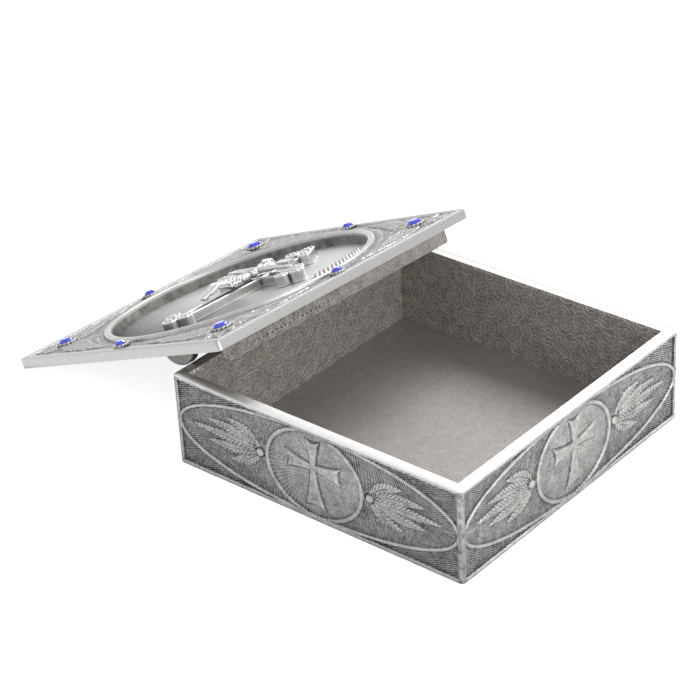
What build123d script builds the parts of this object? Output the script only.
"""Keepsake box for a rosary, in cast pewter.

Four mitred side panels with leaf and cross relief stand on a base plate. The lift-off lid carries a round
sunken dish with a raised crucifix, eight blue stones in collets, a straight locating flange and one lug.
The lid is taken off and leans on the left wall, with its outer edge on the table.

Millimetres. +Z is up. The origin is the centre of the box's underside, +X is the right-hand wall.
"""
from build123d import *
from math import asin, atan, cos, degrees, hypot, radians, sin, sqrt
import os

os.makedirs("parts", exist_ok=True)

# ---- box ----
box_side = 89.0
box_height = 25.4
wall_thickness = 3.4
base_thickness = 2.2
corner_radius = 1.6          # outer upright corners of the box

# ---- relief on the side panels ----
relief_depth = 0.7           # ground below the smooth frame
post_width = 1.4             # smooth frame at the corners
bottom_border = 1.0
top_border = 0.7
band_width = 1.1             # oval band round the whole panel
medallion_half_width = 15.3  # outside of the medallion's ring
ring_width = 1.3
cross_rise = 2.3             # crossing of the panel cross above the middle of the panel
limb_waist = 2.0             # narrowest width of a limb
limb_bow = 0.6               # hollow of a limb's sides
limb_notch = 0.5             # hollow of a limb's end
panel_limbs = ((90, 7.6, 4.4), (270, 11.4, 6.5), (0, 8.4, 5.0), (180, 8.4, 5.0))  # turn, length, end width
bud_radius = 1.1
bud_offset = 17.0            # bud's centre from the middle of the panel
leaf_rise = 0.45
leaf_half_width = 1.6
leaf_outline = ((0.15, 0.55), (0.35, 0.96), (0.55, 0.96), (0.8, 0.5))  # shares of length and half width
leaf_fan = ((0, 22.0, 0), (9, 18.0, 0.7), (-9, 18.0, -0.7), (27, 12.0, 1), (-27, 12.0, -1))  # turn, length, bow

# ---- lid ----
lid_side = box_side
lid_thickness = 2.8
lid_corner_radius = 1.0
lid_border = 2.0             # smooth raised edge
lid_field_depth = 0.4
dish_inset = 6.6             # from the lid's edge to the outside of the dish's wall
dish_wall = 1.9
dish_drop = 1.0              # dish below the underside of the plate
dish_ring_rise = 0.5         # smooth ring above the plate
floor_thickness = 0.6
solder_gap = 0.03            # round seams of pieces that are soldered together

flange_clearance = 0.6       # between the flange and the dish's wall
flange_thickness = 1.0
flange_depth = 4.5
flange_end_radius = 0.8
lug_width = 12.0
lug_depth = 4.3
lug_thickness = 2.4
lug_inset = 4.2              # from the lid's edge to the lug's outer face
lug_clearance = 0.12         # between the lug's flank and the wall's edge, as the lid leans

# ---- stones ----
corner_stone_radius = 2.1
side_stone_radius = 1.55
corner_stone_inset = 9.8     # from the lid's edge
collet_wall = 0.6
collet_rise = 0.6
stone_sides = 10
stone_girdle = 0.35
stone_crown = 0.75
crown_slope = 0.42           # how far the crown's facets run in, as a share of the radius
stone_seat_gap = 0.03

# ---- crucifix ----
crucifix_head = 27.5         # ends of the cross from the middle of the dish
crucifix_foot = 27.0
crucifix_arm = 18.0
crossing_rise = 7.5          # crossing above the middle of the dish
beam_width = 4.4
beam_height = 2.6
bud_end_radius = 2.3         # three round lobes close each limb
bud_end_height = 3.4
title_length = 6.0
title_width = 3.0
title_height = 0.8
figure_reach = 27.0          # crown of the head to the toes
figure_heads = 7.5           # head heights in the whole figure
figure_spread = 12.8         # crossing to the hand
figure_sides = 16            # flats round the body
palm_radius = 0.6
trim_gap = 0.02

# ---- how the lid leans ----
lean_yaw = 4.6               # degrees, seen from above
lean_reach = 22.65           # wall's edge under the lid, from the lid's middle
lean_gap = 2.3               # plate above that edge, halfway along the wall
lean_shift = -3.15           # the wall's middle along the lid's edge
table_clearance = 0.1        # lid's lower edge above the table

# The box height sets the tilt: the lid's lower edge is on the table and the wall bears further up.
lean_span = lean_reach + lid_side / 2
lean_height = box_height - table_clearance
lean_tilt = asin(lean_height / hypot(lean_span, lean_gap)) + atan(lean_gap / lean_span)
yaw = radians(lean_yaw)
lid_normal = Vector(-sin(lean_tilt) * cos(yaw), sin(lean_tilt) * sin(yaw), cos(lean_tilt))
lid_along = Vector(sin(yaw), cos(yaw), 0)
lid_across = lid_along.cross(lid_normal)
wall_edge_middle = Vector(-box_side / 2, 0, box_height)
lid_middle = (
    wall_edge_middle
    - lid_across * lean_reach
    - lid_along * lean_shift
    + lid_normal * (lid_thickness + lean_gap)
)
lid_top = Plane(origin=lid_middle, x_dir=lid_across, z_dir=lid_normal)
lid_under = lid_top.offset(-lid_thickness)
floor_level = lid_thickness + dish_drop - floor_thickness
dish_floor = lid_top.offset(-floor_level)


def finish(part, name):
    """Labels a finished piece and writes it."""
    part.label = name
    export_step(part, f"parts/{name}.step")


# ---- side panels ----
field_height = box_height - bottom_border - top_border
field_centre = bottom_border + field_height / 2
field_width = box_side - 2 * post_width
band_half_width = field_width / 2 + band_width / 2
band_half_height = field_height / 2 + band_width / 2
medallion_half_height = field_height / 2 + ring_width / 2


def limb_shape(length, end_width):
    """One limb of the panel cross, flared along two arcs, with its foot at the crossing."""
    half_waist = limb_waist / 2
    half_flare = end_width / 2
    bow = (half_waist + half_flare) / 2 - limb_bow
    with BuildSketch() as limb:
        with BuildLine():
            ThreePointArc((0, half_waist), (length * 0.6, bow), (length, half_flare))
            ThreePointArc((length, half_flare), (length - limb_notch, 0), (length, -half_flare))
            ThreePointArc((length, -half_flare), (length * 0.6, -bow), (0, -half_waist))
            Line((0, -half_waist), (0, half_waist))
        make_face()
    return limb.sketch


def leaf_shape(length, bow):
    """A pointed leaf along X, from its stalk at the origin to its tip, bowed sideways."""
    upper = [(length * share, part * (bow + leaf_half_width)) for share, part in leaf_outline]
    lower = [(length * share, part * (bow - leaf_half_width)) for share, part in reversed(leaf_outline)]
    with BuildSketch() as leaf:
        Polygon((0, 0), *upper, (length, 0), *lower, align=None)
    return leaf.sketch


for quarter, panel_name in enumerate(("front_panel", "right_panel", "back_panel", "left_panel")):
    turn = 90 * quarter
    along = Vector(1, 0, 0).rotate(Axis.Z, turn)
    outward = Vector(0, -1, 0).rotate(Axis.Z, turn)
    plan = Plane(origin=(0, 0, 0), x_dir=along, z_dir=(0, 0, 1))
    face = Plane(origin=outward * (box_side / 2) + Vector(0, 0, field_centre), x_dir=along, z_dir=outward)
    ground = face.offset(-relief_depth)
    crossing = (0, cross_rise)
    with BuildPart() as panel:
        with BuildSketch(plan):
            RectangleRounded(box_side, box_side, corner_radius)
            Rectangle(box_side - 2 * wall_thickness, box_side - 2 * wall_thickness, mode=Mode.SUBTRACT)
            Polygon((0, 0), (-box_side, -box_side), (box_side, -box_side), align=None, mode=Mode.INTERSECT)
        extrude(amount=box_height)
        with BuildSketch(face):
            Rectangle(field_width, field_height)
            Ellipse(band_half_width, band_half_height, mode=Mode.SUBTRACT)
            Ellipse(band_half_width - band_width, band_half_height - band_width)
            Ellipse(medallion_half_width, medallion_half_height, mode=Mode.SUBTRACT)
            Ellipse(medallion_half_width - ring_width, medallion_half_height - ring_width)
            Rectangle(field_width, field_height, mode=Mode.INTERSECT)
            for limb_turn, limb_length, end_width in panel_limbs:
                with Locations(Location(crossing, limb_turn)):
                    add(limb_shape(limb_length, end_width), mode=Mode.SUBTRACT)
            with Locations(crossing):
                Rectangle(limb_waist, limb_waist, mode=Mode.SUBTRACT)
        extrude(amount=-relief_depth, mode=Mode.SUBTRACT)
        with BuildSketch(ground):
            for spray_turn, spray_x in ((0, bud_offset), (180, -bud_offset)):
                for leaf_turn, leaf_length, leaf_bow in leaf_fan:
                    with Locations(Location((spray_x, 0), spray_turn + leaf_turn)):
                        add(leaf_shape(leaf_length, leaf_bow))
        extrude(amount=leaf_rise)
        with BuildSketch(ground):
            with Locations((bud_offset, 0), (-bud_offset, 0)):
                Circle(bud_radius)
        extrude(amount=relief_depth)
    finish(panel.part, panel_name)

with BuildPart() as base_plate:
    with BuildSketch():
        Rectangle(box_side - 2 * wall_thickness, box_side - 2 * wall_thickness)
    extrude(amount=base_thickness)
finish(base_plate.part, "base_plate")

# ---- lid ----
dish_outside = lid_side / 2 - dish_inset
dish_radius = dish_outside - dish_wall
corner_stone_place = lid_side / 2 - corner_stone_inset
side_stone_place = lid_side / 2 - dish_inset / 2
corner_places = [(i * corner_stone_place, j * corner_stone_place) for i in (1, -1) for j in (1, -1)]
side_places = [(side_stone_place, 0), (0, side_stone_place), (-side_stone_place, 0), (0, -side_stone_place)]
stone_sets = (
    ("corner", corner_places, corner_stone_radius),
    ("side", side_places, side_stone_radius),
)

with BuildPart() as lid_plate:
    with BuildSketch(lid_under):
        RectangleRounded(lid_side, lid_side, lid_corner_radius)
        Circle(dish_outside + solder_gap, mode=Mode.SUBTRACT)
    extrude(amount=lid_thickness)
    with BuildSketch(lid_top):
        Rectangle(lid_side - 2 * lid_border, lid_side - 2 * lid_border)
    extrude(amount=-lid_field_depth, mode=Mode.SUBTRACT)
    for _, places, stone_radius in stone_sets:
        with BuildSketch(lid_top.offset(-lid_field_depth)):
            with Locations(*places):
                Circle(stone_radius + collet_wall)
        extrude(amount=lid_field_depth + collet_rise)
        with BuildSketch(lid_top.offset(collet_rise)):
            with Locations(*places):
                Circle(stone_radius + stone_seat_gap)
        extrude(amount=-stone_girdle, mode=Mode.SUBTRACT)
finish(lid_plate.part, "lid_plate")

with BuildPart() as dish_ring:
    with BuildSketch(lid_top.offset(dish_ring_rise)):
        Circle(dish_outside)
        Circle(dish_radius, mode=Mode.SUBTRACT)
    extrude(amount=-(dish_ring_rise + lid_thickness + dish_drop))
    top_edges = dish_ring.edges().filter_by(GeomType.CIRCLE).group_by(lambda edge: lid_top.to_local_coords(edge.center()).Z)[-1]
    chamfer(top_edges, length=dish_wall / 4)
finish(dish_ring.part, "dish_ring")

with BuildPart() as dish_floor_disc:
    with BuildSketch(dish_floor):
        Circle(dish_radius - solder_gap)
    extrude(amount=-floor_thickness)
finish(dish_floor_disc.part, "dish_floor")

flange_inner_face = dish_outside + flange_clearance
flange_length = 2 * (flange_inner_face + flange_thickness)
flange_plane = Plane(
    origin=lid_under.from_local_coords((flange_inner_face, 0, -flange_depth / 2)),
    x_dir=lid_along,
    z_dir=lid_across,
)
with BuildPart() as lid_flange:
    with BuildSketch(flange_plane):
        Rectangle(flange_length, flange_depth)
    extrude(amount=flange_thickness)
    low_ends = lid_flange.edges().filter_by(Axis((0, 0, 0), lid_across)).sort_by(Axis((0, 0, 0), lid_normal))[:2]
    fillet(low_ends, radius=flange_end_radius)
finish(lid_flange.part, "lid_flange")

# The wall's top edge runs askew under the leaning lid. The lug's rounded flank bears on it.
lug_inner_face = -(lid_side / 2 - lug_inset - lug_thickness)
edge_slope = lid_across.Y / lid_along.Y
edge_drop = lid_normal.Y / lid_along.Y
edge_at_lug = lean_reach + (lug_inner_face - lean_shift) * edge_slope
gap_at_lug = lean_gap - (lug_inner_face - lean_shift) * edge_drop
flank_share = min(1, (gap_at_lug - lug_clearance) / lug_depth)
lug_middle = edge_at_lug - lug_width / 2 * sqrt(1 - flank_share ** 2)
lug_plane = Plane(
    origin=lid_under.from_local_coords((lug_middle, -(lid_side / 2 - lug_inset), 0)),
    x_dir=lid_across,
    z_dir=lid_along * -1,
)
with BuildPart() as lid_lug:
    with BuildSketch(lug_plane):
        Ellipse(lug_width / 2, lug_depth)
        with Locations((0, lug_depth)):
            Rectangle(lug_width, 2 * lug_depth, mode=Mode.SUBTRACT)
    extrude(amount=-lug_thickness)
finish(lid_lug.part, "lid_lug")

# ---- stones: a low girdle in the collet under a faceted crown ----
for set_name, places, stone_radius in stone_sets:
    for number, place in enumerate(places, start=1):
        seat = lid_top.offset(collet_rise - stone_girdle + trim_gap)
        with BuildPart() as stone:
            with BuildSketch(seat):
                with Locations(place):
                    RegularPolygon(stone_radius - stone_seat_gap, stone_sides)
            extrude(amount=stone_girdle)
            with BuildSketch(seat.offset(stone_girdle)):
                with Locations(place):
                    RegularPolygon(stone_radius - stone_seat_gap, stone_sides)
            extrude(amount=stone_crown, taper=degrees(atan(crown_slope * stone_radius / stone_crown)))
        finish(stone.part, f"{set_name}_stone_{number}")

# ---- crucifix ----
crossing_place = (0, crossing_rise)
head_limb = crucifix_head - crossing_rise
foot_limb = crucifix_foot + crossing_rise
limbs = ((90, head_limb), (270, foot_limb), (0, crucifix_arm), (180, crucifix_arm))
cross_seat = dish_floor.offset(trim_gap)
with BuildPart() as cross:
    with BuildSketch(cross_seat):
        for limb_turn, limb_length in limbs:
            with Locations(Location(crossing_place, limb_turn)):
                Polygon(
                    (0, -beam_width / 2),
                    (limb_length - 2 * bud_end_radius, -beam_width / 2),
                    (limb_length - 2 * bud_end_radius, beam_width / 2),
                    (0, beam_width / 2),
                    align=None,
                )
    extrude(amount=beam_height)
    with BuildSketch(cross_seat):
        for limb_turn, limb_length in limbs:
            with Locations(Location(crossing_place, limb_turn)):
                with Locations(
                    (limb_length - bud_end_radius, 0),
                    (limb_length - 2.4 * bud_end_radius, 1.15 * bud_end_radius),
                    (limb_length - 2.4 * bud_end_radius, -1.15 * bud_end_radius),
                ):
                    Circle(bud_end_radius)
    extrude(amount=bud_end_height)
finish(cross.part, "cross")

beam_top = cross_seat.offset(beam_height)
title_place = crucifix_head - 4.6 * bud_end_radius
with BuildPart() as title_plate:
    with BuildSketch(beam_top.offset(trim_gap)):
        with Locations((0, title_place)):
            Rectangle(title_length, title_width)
    extrude(amount=title_height)
    fillet(title_plate.edges().filter_by(Axis((0, 0, 0), lid_normal)), radius=title_width / 8)
finish(title_plate.part, "title_plate")

# ---- figure on the cross, in its main masses ----
head = figure_reach / figure_heads
crown = title_place - title_width / 2 - head / 6
toes = crown - figure_reach
shoulder = crossing_rise - head / 3
figure_seat = beam_top.offset(trim_gap)
hand_height = bud_end_height - beam_height + 1.2 * palm_radius

# Sections in head heights: along the figure from the shoulders, above the beam, half width, half depth.
crown_rise = (crown - shoulder) / head
skull_top = (crown_rise, 0.58, 0.16, 0.18)
skull = (crown_rise - 0.12, 0.58, 0.32, 0.37)
brow = (crown_rise - 0.38, 0.58, 0.38, 0.47)
cheeks = (crown_rise - 0.66, 0.60, 0.34, 0.44)
chin = (crown_rise - 0.93, 0.62, 0.19, 0.30)
neck = (crown_rise - 1.02, 0.54, 0.21, 0.22)
collar = (0.17, 0.44, 0.42, 0.28)
chest = (-0.33, 0.47, 0.69, 0.36)
waist = (-1.39, 0.47, 0.53, 0.36)
hips = (-2.28, 0.47, 0.64, 0.39)
thighs = (-3.05, 0.58, 0.58, 0.39)
knees = (-3.95, 0.78, 0.53, 0.36)
shins = (-5.0, 0.50, 0.36, 0.28)
feet = ((toes - shoulder) / head, 0.33, 0.31, 0.19)


def oval_corners(half_width, half_depth):
    """Corners of a section through the body."""
    turns = [radians(360 * side / figure_sides) for side in range(figure_sides)]
    return [(half_width * cos(turn), half_depth * sin(turn)) for turn in turns]


with BuildPart() as corpus:
    for length_share, height_share, width_share, depth_share in (
        skull_top, skull, brow, cheeks, chin, neck, collar, chest, waist, hips, thighs, knees, shins, feet,
    ):
        section_place = (0, shoulder + length_share * head, height_share * head)
        section = Plane(origin=figure_seat.from_local_coords(section_place), x_dir=lid_across, z_dir=lid_along)
        with BuildSketch(section):
            Polygon(*oval_corners(width_share * head, depth_share * head), align=None)
    loft(ruled=True)
    for side in (-1, 1):
        arm_start = figure_seat.from_local_coords((side * head / 3, shoulder - 0.28 * head, 0.36 * head))
        arm_end = figure_seat.from_local_coords((side * figure_spread, shoulder + 0.44 * head, hand_height))
        arm_axis = (arm_end - arm_start).normalized()
        with BuildSketch(Plane(origin=arm_start, z_dir=arm_axis)):
            RegularPolygon(0.26 * head, figure_sides)
        with BuildSketch(Plane(origin=arm_end, z_dir=arm_axis)):
            RegularPolygon(palm_radius, figure_sides)
        loft(ruled=True)
finish(corpus.part, "corpus")
